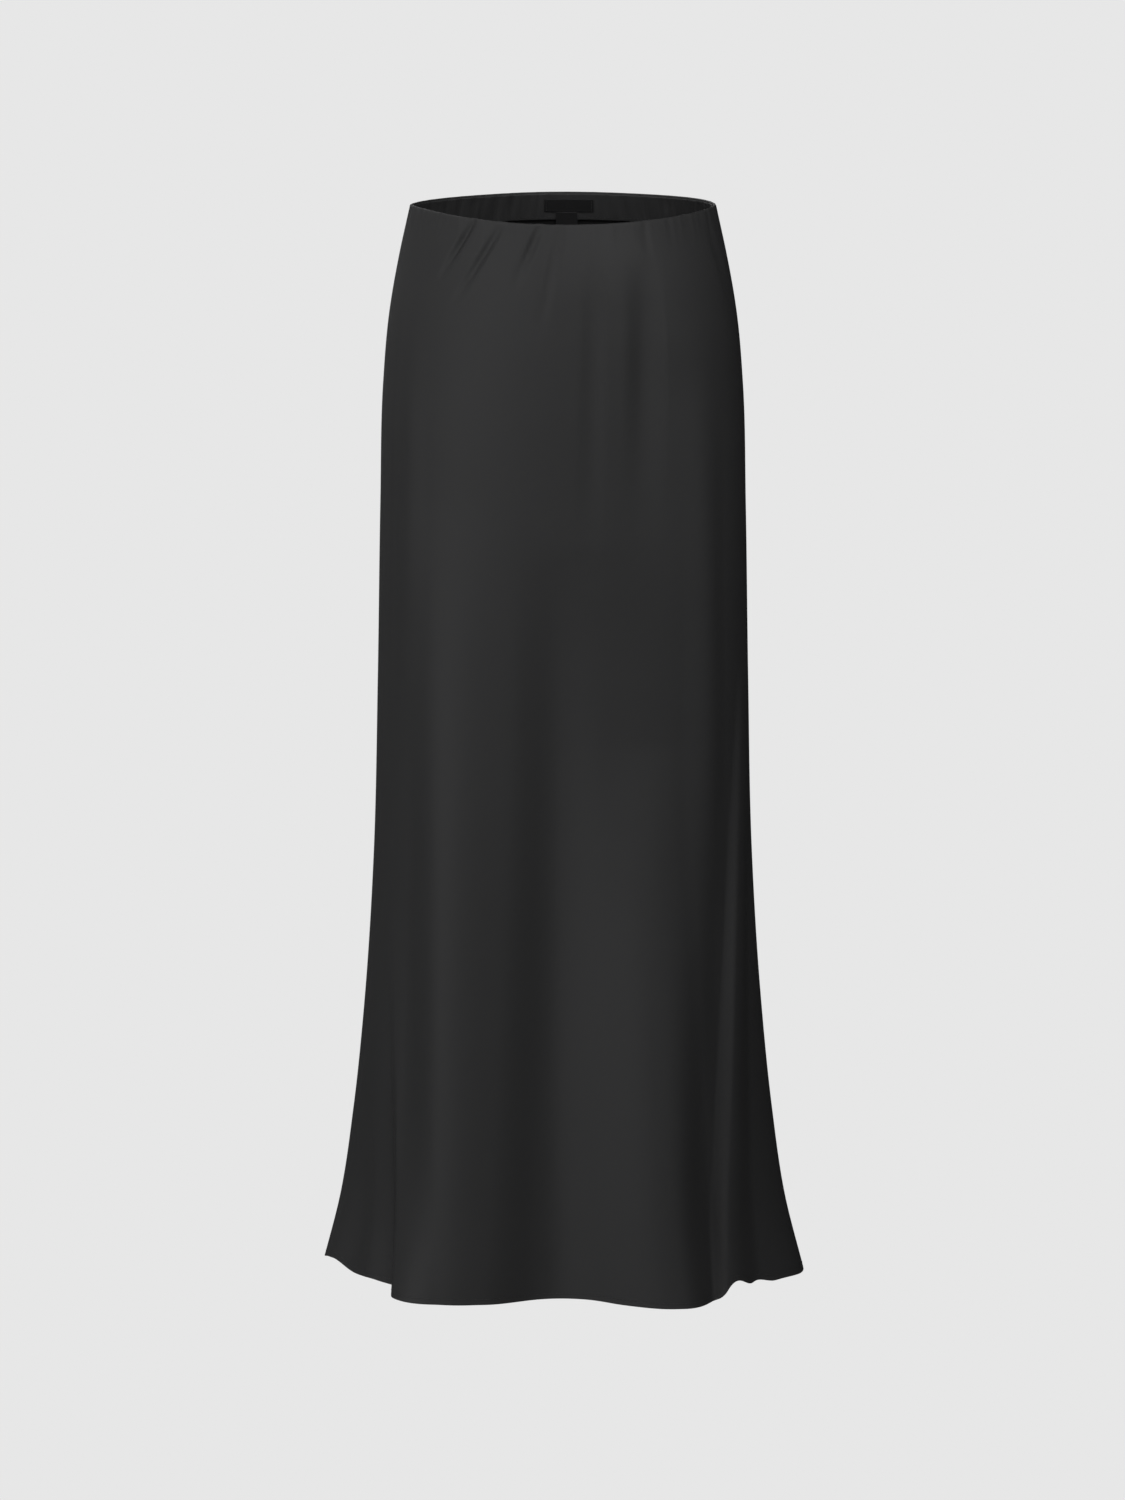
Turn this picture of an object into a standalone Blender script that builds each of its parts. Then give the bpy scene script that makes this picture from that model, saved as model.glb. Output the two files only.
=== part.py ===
"""A satin maxi skirt with a fishtail hem, filled out as if it were worn.

Units are metres and +Z is up. The origin is the middle of the waist, level with the tops of the
side seams. The front faces -Y. An angle runs round the skirt in degrees: 0 is the middle of the
front, 90 the side seam at +X, -90 the side seam at -X and 180 the middle of the back. A drop is
a depth below the waist, and a share runs down the cloth from 0 at the waist to 1 at the hem.

The cloth is one curved surface that is worked out from three short tables: the sections of the
body of the skirt, the folds that open towards the hem, and the gathers, broad and narrow.
"""

from typing import NamedTuple

import bmesh
import bpy
import numpy as np

# Driving sizes of the cut
LENGTH = 0.920
WAIST_DIP = 0.0077
WAIST_BACK_RISE = 0.0010
WALL = 0.0012
SEAM_GAP = 0.0003
CASING_DEPTH = 0.028
CASING_WALL = 0.0012
LABEL_WALL = 0.0010

# How finely the surface is divided
PANEL_COLUMNS = 68
COLUMN_CROWDING = 0.35
CASING_ROWS = 2
PANEL_ROWS = 24
ROW_EASE = 1.12
NORMAL_STEP_DEGREES = 1.0
NORMAL_STEP_SHARE = 0.004
SMOOTH_DEGREES = 50.0

# How softly the sides round off next to the side seams, as a share of the section's depth
SIDE_SOFTNESS = 0.15

SIDE = 90.0
BACK = 180.0
FULL_TURN = 360.0


class Section(NamedTuple):
    """One level of the skirt: half its width, its depths, and how far its sides are pinched."""

    drop: float
    half_width: float
    front_depth: float
    back_depth: float
    left_pinch: float
    right_pinch: float


SECTIONS = (
    Section(0.000, 0.1270, 0.0880, 0.098, 0.65, 0.20),
    Section(0.040, 0.1362, 0.0970, 0.106, 0.48, -0.02),
    Section(0.090, 0.1452, 0.1045, 0.116, 0.22, -0.20),
    Section(0.150, 0.1508, 0.1085, 0.123, 0.05, -0.34),
    Section(0.250, 0.1538, 0.1095, 0.125, -0.08, -0.42),
    Section(0.400, 0.1571, 0.1090, 0.118, -0.16, -0.32),
    Section(0.550, 0.1616, 0.1100, 0.115, -0.20, -0.10),
    Section(0.680, 0.1703, 0.1110, 0.118, -0.10, -0.08),
    Section(0.780, 0.1808, 0.1120, 0.122, 0.06, 0.00),
    Section(0.860, 0.1930, 0.1130, 0.127, 0.16, 0.05),
    Section(0.926, 0.2097, 0.1140, 0.132, 0.26, 0.05),
)


class Fold(NamedTuple):
    """One fold: its angle where it starts and at the hem, its reach to each side, its depth there
    in millimetres (outwards is positive), the drop where it starts, and how late it deepens."""

    start_angle: float
    hem_angle: float
    left_reach: float
    right_reach: float
    depth_mm: float
    start_drop: float
    growth: float


FOLDS = (
    # The front, from the left side seam to the right one
    Fold(-71.5, -46.2, 12.0, 5.5, -7.0, 0.52, 3.0),
    Fold(-66.0, -41.2, 5.5, 14.0, 13.0, 0.52, 3.0),
    Fold(-42.0, -30.0, 17.0, 24.0, 20.0, 0.24, 1.35),
    Fold(-4.0, -2.5, 16.0, 17.0, -21.0, 0.22, 1.3),
    Fold(26.0, 27.0, 25.0, 15.0, 26.0, 0.44, 1.15),
    Fold(75.0, 41.5, 8.0, 8.5, 8.0, 0.38, 0.90),
    Fold(84.0, 55.0, 14.0, 26.0, -8.0, 0.38, 1.5),
    # The back, from the right side seam to the left one
    Fold(112.0, 108.0, 12.0, 16.0, -10.0, 0.48, 1.5),
    Fold(128.0, 130.0, 15.0, 17.0, 19.0, 0.36, 1.5),
    Fold(150.0, 152.0, 12.0, 15.0, -13.0, 0.42, 1.4),
    Fold(176.0, 172.0, 16.0, 21.0, 17.0, 0.26, 1.35),
    Fold(-164.0, -166.0, 15.0, 12.0, -15.0, 0.44, 1.4),
    Fold(-140.0, -143.0, 18.0, 17.0, 22.0, 0.30, 1.4),
    Fold(-122.0, -124.0, 14.0, 14.0, -15.0, 0.46, 1.5),
    Fold(-100.0, -104.0, 16.0, 18.0, 3.0, 0.55, 1.6),
)


class Gather(NamedTuple):
    """One trough in the cloth, or a ridge where its depth is negative: its angle and drop at its
    top and at its foot, its reach to the left, its depth in millimetres, how far down its deepest
    point lies (1 is half way, and less is nearer to its top), and how many times as far it reaches
    to the right."""

    top_angle: float
    foot_angle: float
    top_drop: float
    foot_drop: float
    reach: float
    depth_mm: float
    bias: float = 0.63
    lean: float = 1.0


GATHERS = (
    # The front, drawn in by the elastic
    Gather(-33.4, -49.6, 0.003, 0.066, 4.5, 1.4),
    Gather(-21.6, -42.3, 0.004, 0.088, 4.5, 1.3),
    Gather(-7.4, -18.6, 0.004, 0.070, 4.5, 1.4),
    Gather(-1.0, -8.8, 0.006, 0.110, 4.5, 1.1),
    Gather(10.5, 8.0, 0.024, 0.330, 5.5, 2.2),
    Gather(28.5, 25.0, 0.032, 0.310, 8.6, 4.2),
    Gather(46.0, 40.0, 0.120, 0.480, 16.0, -1.8),
    Gather(66.0, 78.0, 0.006, 0.100, 6.0, 0.8),
    # The front, flat between the two hips
    Gather(2.0, 0.0, 0.060, 0.900, 58.0, 6.0),
    Gather(-57.0, -57.0, 0.050, 0.640, 11.0, -2.0),
    Gather(51.0, 47.0, 0.050, 0.860, 11.0, -3.5, 0.9),
    # The front, where the two folds grow out of the hips
    Gather(-36.0, -30.0, 0.240, 1.100, 26.0, -6.5),
    Gather(-1.0, -3.5, 0.270, 1.100, 15.0, 9.5, 0.63, 2.9),
    Gather(29.5, 28.0, 0.440, 1.120, 21.0, -7.0),
    Gather(44.0, 34.0, 0.420, 0.900, 13.0, -6.0, 1.0),
    # The back, pushed out by the waist below the elastic
    Gather(124.0, 122.0, -0.030, 0.060, 34.0, -5.0),
    Gather(-124.0, -122.0, -0.030, 0.060, 34.0, -5.0),
    # The back, drawn in by the elastic
    Gather(104.0, 109.0, 0.006, 0.084, 5.0, 1.1),
    Gather(121.0, 128.0, 0.008, 0.110, 5.5, 1.3),
    Gather(137.0, 141.0, 0.006, 0.072, 5.0, 1.0),
    Gather(152.0, 154.0, 0.014, 0.170, 6.5, 1.5),
    Gather(-158.0, -155.0, 0.010, 0.130, 5.5, 1.4),
    Gather(-144.0, -138.0, 0.006, 0.078, 5.0, 1.0),
    Gather(-126.0, -119.0, 0.008, 0.100, 5.5, 1.3),
    Gather(-107.0, -101.0, 0.006, 0.066, 5.0, 0.9),
)


class HemRise(NamedTuple):
    """A stretch of hem that hangs higher than the rest."""

    angle: float
    reach: float
    height: float


HEM_RISES = (
    HemRise(-74.0, 35.0, 0.0102),
    HemRise(-5.0, 16.0, -0.0030),
    HemRise(36.0, 11.0, -0.0025),
    HemRise(45.5, 6.5, 0.0085),
    HemRise(92.0, 30.0, -0.0060),
)


class Label(NamedTuple):
    """A bare woven label inside the back: its middle, its top below the waist, and its size."""

    middle_x: float
    top_drop: float
    width: float
    height: float
    columns: int
    rows: int


MAIN_LABEL = Label(0.005, 0.006, 0.042, 0.0105, 10, 2)
SIZE_LABEL = Label(0.003, 0.0168, 0.018, 0.024, 4, 4)

# Colours, as linear red, green and blue, with roughness
SATIN_BLACK = ((0.0165, 0.0165, 0.0170), 0.42)
CASING_BLACK = ((0.0120, 0.0120, 0.0125), 0.55)
LABEL_BLACK = ((0.0060, 0.0060, 0.0062), 0.70)
MILLIMETRE = 0.001

section_columns = Section(*np.array(SECTIONS).T)


def section_value(drop, values):
    """Reads one column of the section table at a drop, on a smooth curve through its rows."""
    drops = section_columns.drop
    slopes = np.gradient(values, drops)
    at = np.clip(drop, drops[0], drops[-1])
    row = np.clip(np.searchsorted(drops, at, side="right") - 1, 0, len(drops) - 2)
    gap = drops[row + 1] - drops[row]
    u = (at - drops[row]) / gap
    rising = u * u * (3 - 2 * u)
    leave = u * (1 - u) ** 2 * gap * slopes[row]
    arrive = u * u * (u - 1) * gap * slopes[row + 1]
    return values[row] * (1 - rising) + values[row + 1] * rising + leave + arrive


def turn_from(angle, station):
    """Gives the shortest turn in degrees from a station to an angle."""
    return (angle - station + BACK) % FULL_TURN - BACK


def bell(offset, reach):
    """Rises from 0 at one reach through 1 at the middle to 0 at the other, smooth at both ends."""
    return np.cos(np.clip(offset / reach, -1, 1) * np.pi / 2) ** 2


def fold_depth(angle, drop):
    """Adds up the folds, which grow from their start to the hem and drift to their hem angle."""
    depth = np.zeros_like(drop)
    for fold in FOLDS:
        grown = np.clip((drop - fold.start_drop) / (LENGTH - fold.start_drop), 0, 1)
        station = fold.start_angle + (fold.hem_angle - fold.start_angle) * grown
        offset = turn_from(angle, station)
        reach = np.where(offset < 0, fold.left_reach, fold.right_reach)
        depth += fold.depth_mm * bell(offset, reach) * grown**fold.growth
    return depth * MILLIMETRE


def gather_depth(angle, drop):
    """Adds up the gathers, each of which swells from its top and fades out to its foot."""
    depth = np.zeros_like(drop)
    for gather in GATHERS:
        along = np.clip((drop - gather.top_drop) / (gather.foot_drop - gather.top_drop), 0, 1)
        station = gather.top_angle + (gather.foot_angle - gather.top_angle) * along
        swell = np.sin(np.pi * along**gather.bias) ** 2
        offset = turn_from(angle, station)
        reach = np.where(offset < 0, gather.reach, gather.reach * gather.lean)
        depth -= gather.depth_mm * bell(offset, reach) * swell
    return depth * MILLIMETRE


def waist_drop(angle):
    """Gives the drop of the waist's edge, which dips in front and rises a little at the back."""
    towards_front = np.cos(np.radians(angle))
    dip = WAIST_DIP * np.clip(towards_front, 0, 1) ** 2
    return dip - WAIST_BACK_RISE * np.clip(-towards_front, 0, 1) ** 2


def hem_drop(angle):
    """Gives the drop of the hem's edge, which rises a little at the side seams."""
    drop = np.full_like(angle, LENGTH)
    for rise in HEM_RISES:
        drop -= rise.height * bell(turn_from(angle, rise.angle), rise.reach)
    return drop


def squeeze(cosine, pinch):
    """Gives how far a side is drawn in, or squared out where its pinch is negative."""
    soft = SIDE_SOFTNESS**2
    return ((cosine**2 + soft) / (1 + soft)) ** (pinch / 2)


def cloth_face(angle, share):
    """Gives the outer face of the cloth: an oval section, pinched at its sides, moved by folds."""
    turn = np.radians(angle)
    drop = waist_drop(angle) + (hem_drop(angle) - waist_drop(angle)) * share
    width = section_value(drop, section_columns.half_width)
    front = section_value(drop, section_columns.front_depth)
    back = section_value(drop, section_columns.back_depth)
    left_pinch = section_value(drop, section_columns.left_pinch)
    right_pinch = section_value(drop, section_columns.right_pinch)
    sine, cosine = np.sin(turn), np.cos(turn)
    depth = (front + back) / 2 + (front - back) / 2 * cosine
    pinched = cosine * squeeze(cosine, np.where(sine < 0, left_pinch, right_pinch))
    outward = np.stack([sine / width, -cosine / depth])
    outward /= np.hypot(*outward)
    moved = (fold_depth(angle, drop) + gather_depth(angle, drop)) * outward
    return np.stack([width * sine + moved[0], -depth * pinched + moved[1], -drop], -1)


def cloth_normal(angle, share):
    """Gives the outward direction of the cloth, from its slopes round it and down it."""
    left, right = angle - NORMAL_STEP_DEGREES, angle + NORMAL_STEP_DEGREES
    upper, lower = np.clip(share - NORMAL_STEP_SHARE, 0, 1), np.clip(share + NORMAL_STEP_SHARE, 0, 1)
    across = cloth_face(right, share) - cloth_face(left, share)
    upwards = cloth_face(angle, upper) - cloth_face(angle, lower)
    normal = np.cross(across, upwards)
    return normal / np.linalg.norm(normal, axis=-1, keepdims=True)


def cloth_point(angle, share, inset):
    """Gives a point that lies an inset inside the outer face of the cloth."""
    return cloth_face(angle, share) - inset * cloth_normal(angle, share)


def seam_shift(angle):
    """Sets the points on a side seam half a seam gap back from it, towards the panel's middle."""
    shift = np.zeros(angle.shape + (3,))
    on_seam = np.isclose(np.abs(turn_from(angle, 0.0)), SIDE)
    front_panel = np.abs(angle).max() <= SIDE
    shift[..., 1] = on_seam * SEAM_GAP / 2 * (-1 if front_panel else 1)
    return shift


def casing_share():
    """Gives the share of the length that the casing covers."""
    return CASING_DEPTH / LENGTH


def panel_angles(middle):
    """Gives the angles of a panel's columns, which crowd where the folds turn most sharply."""
    across = np.linspace(-1, 1, PANEL_COLUMNS + 1)
    crowded = across + COLUMN_CROWDING / (2 * np.pi) * np.sin(2 * np.pi * across)
    return middle + SIDE * crowded


def panel_shares():
    """Gives the shares of a panel's rows: the casing's own rows, then rows that widen downwards."""
    upper = np.linspace(0, casing_share(), CASING_ROWS + 1)
    lower = casing_share() + (1 - casing_share()) * np.linspace(0, 1, PANEL_ROWS + 1)[1:] ** ROW_EASE
    return np.concatenate([upper, lower])


def no_shift(angle):
    """Leaves the points where they are on the cloth."""
    return np.zeros(angle.shape + (3,))


def add_strip(mesh, first, second, turned=False):
    """Joins two lines of vertices into a strip of four-sided faces.

    A turned strip faces the other way, and its faces are split along the same corners, so that two
    walls that follow each other never cross.
    """
    outline = (first, first[1:], second[1:], second) if turned else (first, second, second[1:], first[1:])
    for corners in zip(*outline):
        mesh.faces.new(corners)


def add_wall(mesh, angles, shares, insets, shift):
    """Lays an outer and an inner grid on the cloth and joins their edges into one closed wall.

    A wall that goes right round ends on the column that it began with.
    """
    angle, share = np.meshgrid(angles, shares)
    closed = np.isclose(angles[-1] - angles[0], FULL_TURN)
    sheets = []
    for inset in insets:
        points = cloth_point(angle, share, inset) + shift(angle)
        own_points = points[:, :-1] if closed else points
        rows = [[mesh.verts.new(point) for point in row] for row in own_points]
        sheets.append([row + row[:1] for row in rows] if closed else rows)
    outer, inner = sheets
    for rows in sheets:
        for upper, lower in zip(rows, rows[1:]):
            add_strip(mesh, upper, lower, turned=rows is inner)
    add_strip(mesh, inner[0], outer[0])
    add_strip(mesh, outer[-1], inner[-1])
    if not closed:
        outer_columns, inner_columns = list(zip(*outer)), list(zip(*inner))
        add_strip(mesh, outer_columns[0], inner_columns[0])
        add_strip(mesh, inner_columns[-1], outer_columns[-1])


def add_piece(collection, name, angles, shares, insets, finish, shift=no_shift):
    """Makes one piece of cloth between two insets and gives it its own material."""
    mesh = bmesh.new()
    add_wall(mesh, angles, shares, insets, shift)
    data = bpy.data.meshes.new(name)
    mesh.to_mesh(data)
    mesh.free()
    data.shade_smooth()
    data.set_sharp_from_angle(angle=np.radians(SMOOTH_DEGREES))
    piece = bpy.data.objects.new(name, data)
    piece.data.materials.append(add_material(name, *finish))
    collection.objects.link(piece)


def add_material(name, colour, roughness):
    """Makes a plain cloth material."""
    material = bpy.data.materials.new(name)
    material.use_nodes = True
    shader = material.node_tree.nodes["Principled BSDF"]
    shader.inputs["Base Color"].default_value = (*colour, 1.0)
    shader.inputs["Roughness"].default_value = roughness
    shader.inputs["Metallic"].default_value = 0.0
    return material


def add_panels(collection):
    """Adds the front and the back of the skirt, which meet at the side seams."""
    shares = panel_shares()
    for name, middle in (("front_panel", 0.0), ("back_panel", BACK)):
        add_piece(collection, name, panel_angles(middle), shares, (0.0, WALL), SATIN_BLACK, seam_shift)


def add_casing(collection):
    """Adds the turned-in channel of the elastic, just inside the waist."""
    angles = np.concatenate([panel_angles(0.0), panel_angles(BACK)[1:]])
    shares = np.linspace(0, casing_share(), CASING_ROWS + 1)
    outer = WALL + SEAM_GAP
    add_piece(collection, "waist_casing", angles, shares, (outer, outer + CASING_WALL), CASING_BLACK)


def add_label(collection, name, label):
    """Adds a label that lies against the inside of the back casing."""
    radius = section_columns.half_width[0]
    across = label.middle_x + label.width * np.linspace(0.5, -0.5, label.columns + 1)
    angles = BACK - np.degrees(across / radius)
    shares = (label.top_drop + np.linspace(0, label.height, label.rows + 1)) / LENGTH
    outer = WALL + SEAM_GAP + CASING_WALL + SEAM_GAP
    add_piece(collection, name, angles, shares, (outer, outer + LABEL_WALL), LABEL_BLACK)


def clear_scene():
    """Removes every object that the scene opens with."""
    for old in list(bpy.data.objects):
        bpy.data.objects.remove(old)


def main():
    """Builds the skirt in its own collection."""
    clear_scene()
    collection = bpy.data.collections.new("fishtail_skirt")
    bpy.context.scene.collection.children.link(collection)
    add_panels(collection)
    add_casing(collection)
    add_label(collection, "label_main", MAIN_LABEL)
    add_label(collection, "label_size", SIZE_LABEL)


main()
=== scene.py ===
"""Dresses the fishtail skirt: satin panels, casing, stitching and labels, in a pale studio.

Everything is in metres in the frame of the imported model, with +Z up and the front facing -Y. An
angle runs round the skirt in degrees: 0 is the middle of the front, 90 the side seam at +X, -90
the side seam at -X and 180 the middle of the back. A drop is a depth below the waist, a share
runs down the cloth from 0 at the waist to 1 at the hem, and an inset is a depth inside its face.
"""

import logging
from dataclasses import dataclass
from enum import Enum
from math import cos, pi, radians, sin
from typing import NamedTuple

import bpy
import numpy as np
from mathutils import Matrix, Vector


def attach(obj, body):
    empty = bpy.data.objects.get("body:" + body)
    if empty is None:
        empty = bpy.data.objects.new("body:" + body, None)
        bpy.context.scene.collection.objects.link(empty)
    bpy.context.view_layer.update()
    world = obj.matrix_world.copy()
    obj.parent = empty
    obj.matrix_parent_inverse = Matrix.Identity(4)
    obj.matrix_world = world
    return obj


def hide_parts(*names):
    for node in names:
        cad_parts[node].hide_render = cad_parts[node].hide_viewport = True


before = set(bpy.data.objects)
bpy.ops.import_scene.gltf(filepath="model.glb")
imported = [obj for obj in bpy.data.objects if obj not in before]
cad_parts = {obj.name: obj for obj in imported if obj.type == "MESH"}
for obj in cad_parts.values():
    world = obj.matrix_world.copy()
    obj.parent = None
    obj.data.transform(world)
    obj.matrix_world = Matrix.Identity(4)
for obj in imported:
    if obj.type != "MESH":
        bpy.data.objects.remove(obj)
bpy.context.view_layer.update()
log = logging.getLogger("skirt")
Array = np.ndarray

BACK = 180.0
SIDE = 90.0
FULL_TURN = 360.0
MM = 0.001
BODY = "root"
CLOTH_MAP = "cloth"
EDGE_MASK = "edge"

# The weave's slant, repeat and step, the heights of its threads, the cloth's unevenness, and the least
# share of the edges' rubbed wear and painted highlight
BIAS = pi / 4
WEAVE_REPEAT = 5.0
WEAVE_STEP = 2.0
FLOAT_LIFT = 0.5
TIE_HEIGHT = 0.45
STREAK_STRETCH = 0.06
LEAST_RUB_AND_HIGHLIGHT = 0.6


class Hold(Enum):
    """The ways in which a sheet of cloth is held."""

    HUNG = "hung"
    GATHERED = "gathered"


class Section(NamedTuple):
    """One level of the skirt: half its width, its depths, and how far its sides are pinched."""

    drop: float
    half_width: float
    front_depth: float
    back_depth: float
    left_pinch: float
    right_pinch: float


class Fold(NamedTuple):
    """One fold: its angle where it starts and at the hem, its reach to each side, its depth there
    in millimetres (outwards is positive), the drop where it starts, and how late it deepens."""

    start_angle: float
    hem_angle: float
    left_reach: float
    right_reach: float
    depth_mm: float
    start_drop: float
    growth: float


class Crease(NamedTuple):
    """One trough in the cloth, or a ridge where its depth is negative: its angle and drop at its
    top and at its foot, its reach to the left, its depth in millimetres, how far down its deepest
    point lies (1 is half way, and less is nearer to its top), and how many times as far it reaches
    to the right."""

    top_angle: float
    foot_angle: float
    top_drop: float
    foot_drop: float
    reach: float
    depth_mm: float
    bias: float = 0.63
    lean: float = 1.0


class HemRise(NamedTuple):
    """A stretch of hem that hangs higher than the rest, or lower where its height is negative."""

    angle: float
    reach: float
    height: float


class Ripple(NamedTuple):
    """One fine wave: its height, its rate for each radian or metre, its start in radians, and the
    slower waves that shift it along."""

    height: float
    rate: float
    start: float = 0.0
    shifts: tuple["Ripple", ...] = ()


SECTIONS = (
    Section(0.000, 0.1270, 0.0880, 0.098, 0.65, 0.10),
    Section(0.040, 0.1362, 0.0985, 0.106, 0.50, -0.20),
    Section(0.090, 0.1452, 0.1050, 0.116, 0.24, -0.32),
    Section(0.150, 0.1508, 0.1085, 0.123, 0.05, -0.34),
    Section(0.250, 0.1538, 0.1095, 0.125, -0.08, -0.42),
    Section(0.400, 0.1571, 0.1090, 0.118, -0.16, -0.32),
    Section(0.550, 0.1616, 0.1100, 0.115, -0.20, -0.10),
    Section(0.680, 0.1703, 0.1110, 0.118, -0.10, -0.08),
    Section(0.780, 0.1808, 0.1120, 0.122, 0.06, 0.00),
    Section(0.860, 0.1930, 0.1130, 0.127, 0.16, 0.05),
    Section(0.926, 0.2097, 0.1140, 0.132, 0.26, 0.05),
)

FOLDS = (
    # The front, from the left side seam to the right one
    Fold(-71.5, -45.6, 12, 4.6, -8, 0.52, 3),
    Fold(-66, -41.2, 4.6, 14, 13.5, 0.52, 3),
    Fold(-42, -30, 17, 24, 20, 0.24, 1.35),
    Fold(-4, -2.5, 16, 17, -19, 0.22, 1.3),
    Fold(26, 27, 22, 15, 26, 0.44, 1.15),
    Fold(72.8, 40.3, 4.3, 16, 13, 0.38, 0.75),
    Fold(84, 57, 16, 24, -2.5, 0.38, 1.5),
    # The back, from the right side seam to the left one
    Fold(112, 108, 12, 16, -10, 0.48, 1.5),
    Fold(128, 130, 15, 17, 19, 0.36, 1.5),
    Fold(150, 152, 12, 15, -13, 0.42, 1.4),
    Fold(176, 172, 16, 21, 17, 0.26, 1.35),
    Fold(-164, -166, 15, 12, -15, 0.44, 1.4),
    Fold(-140, -143, 18, 17, 22, 0.30, 1.4),
    Fold(-122, -124, 14, 14, -15, 0.46, 1.5),
    Fold(-100, -104, 16, 18, 3, 0.55, 1.6),
)

CREASES = (
    # The front, drawn in by the elastic
    Crease(-33.4, -49.6, 0.003, 0.066, 2.7, 4.2),
    Crease(-21.6, -42.3, 0.004, 0.088, 2.7, 3.6),
    Crease(-7.4, -18.6, 0.004, 0.070, 2.5, 4.2),
    Crease(-1, -8.8, 0.006, 0.110, 2.8, 2.2),
    Crease(10.5, 8, 0.024, 0.330, 5.5, 2.2),
    Crease(28.5, 25, 0.032, 0.310, 8.6, 4.2),
    Crease(29, 32.5, 0.002, 0.048, 3.2, 0.5),
    Crease(46, 40, 0.120, 0.480, 16, -1.8),
    Crease(66, 78, 0.006, 0.100, 6, 0.8),
    # The front, flat between the two hips
    Crease(2, 0, 0.060, 0.900, 58, 6),
    Crease(-57, -57, 0.050, 0.640, 11, -2),
    Crease(51, 47, 0.050, 0.860, 11, -3.5, 0.9),
    # The front, where the two folds grow out of the hips, and the hollow of the left wing
    Crease(-67, -61, 0.700, 1.150, 17, 7.5, 1),
    Crease(-36, -30, 0.240, 1.100, 26, -6.5),
    Crease(-1, -3.5, 0.270, 1.100, 15, 9.5, 0.63, 2.9),
    Crease(29.5, 28, 0.440, 1.120, 21, -7),
    Crease(44, 34, 0.420, 0.900, 13, -6, 1),
    # The back, pushed out by the waist below the elastic
    Crease(124, 122, -0.030, 0.060, 34, -5),
    Crease(-124, -122, -0.030, 0.060, 34, -5),
    # The back, drawn in by the elastic
    Crease(104, 109, 0.006, 0.084, 5, 1.1),
    Crease(121, 128, 0.008, 0.110, 5.5, 1.3),
    Crease(137, 141, 0.006, 0.072, 5, 1),
    Crease(152, 154, 0.014, 0.170, 6.5, 1.5),
    Crease(-158, -155, 0.010, 0.130, 5.5, 1.4),
    Crease(-144, -138, 0.006, 0.078, 5, 1),
    Crease(-126, -119, 0.008, 0.100, 5.5, 1.3),
    Crease(-107, -101, 0.006, 0.066, 5, 0.9),
)

# The hem's heights, taken off its length
HEM_RISES = (
    HemRise(-74, 35, 0.0102),
    HemRise(-5, 16, -0.0030),
    HemRise(36, 11, -0.0025),
    HemRise(-65, 13, -0.0056),
    HemRise(44, 8, 0.0130),
    HemRise(53.5, 9.5, 0.0050),
    HemRise(92, 30, -0.0060),
)

# The ripples below the elastic and in the casing, and how the side seams' grooves waver
PUCKERS = (
    Ripple(1.0, 41, 0.0, (Ripple(1.3, 5),)),
    Ripple(0.7, 67, 0.0, (Ripple(0.9, 7, 1.0),)),
    Ripple(0.5, 97, 2.0),
)

GATHERS = (
    Ripple(1.0, 43, 0.0, (Ripple(1.6, 5, 0.5), Ripple(1.1, 11))),
    Ripple(0.6, 71, 0.0, (Ripple(-1.6, 5, 0.5), Ripple(-1.1, 11))),
    Ripple(0.35, 109, 2.0),
)

SEAM_WAVERS = (Ripple(0.25, 95), Ripple(0.15, 241, 1.0))


def turn_from(angle: Array, station: Array | float) -> Array:
    """Gives the shortest turn in degrees from a station to an angle."""
    return (angle - station + FULL_TURN / 2) % FULL_TURN - FULL_TURN / 2


def bell(offset: Array, reach: Array | float) -> Array:
    """Rises from 0 at one reach to 1 at the middle and back, as a squared cosine."""
    return np.cos(np.clip(offset / reach, -1, 1) * np.pi / 2) ** 2


def ripple(place: Array, waves: tuple[Ripple, ...]) -> Array:
    """Adds up sine waves, each shifted along by slower waves of its own.

    Args:
        place: Where the waves are read, in radians or metres.
        waves: The waves.

    Returns:
        Their sum at each place.
    """
    total = np.zeros_like(place)
    for wave in waves:
        total += wave.height * np.sin(wave.rate * place + wave.start + ripple(place, wave.shifts))
    return total


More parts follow.
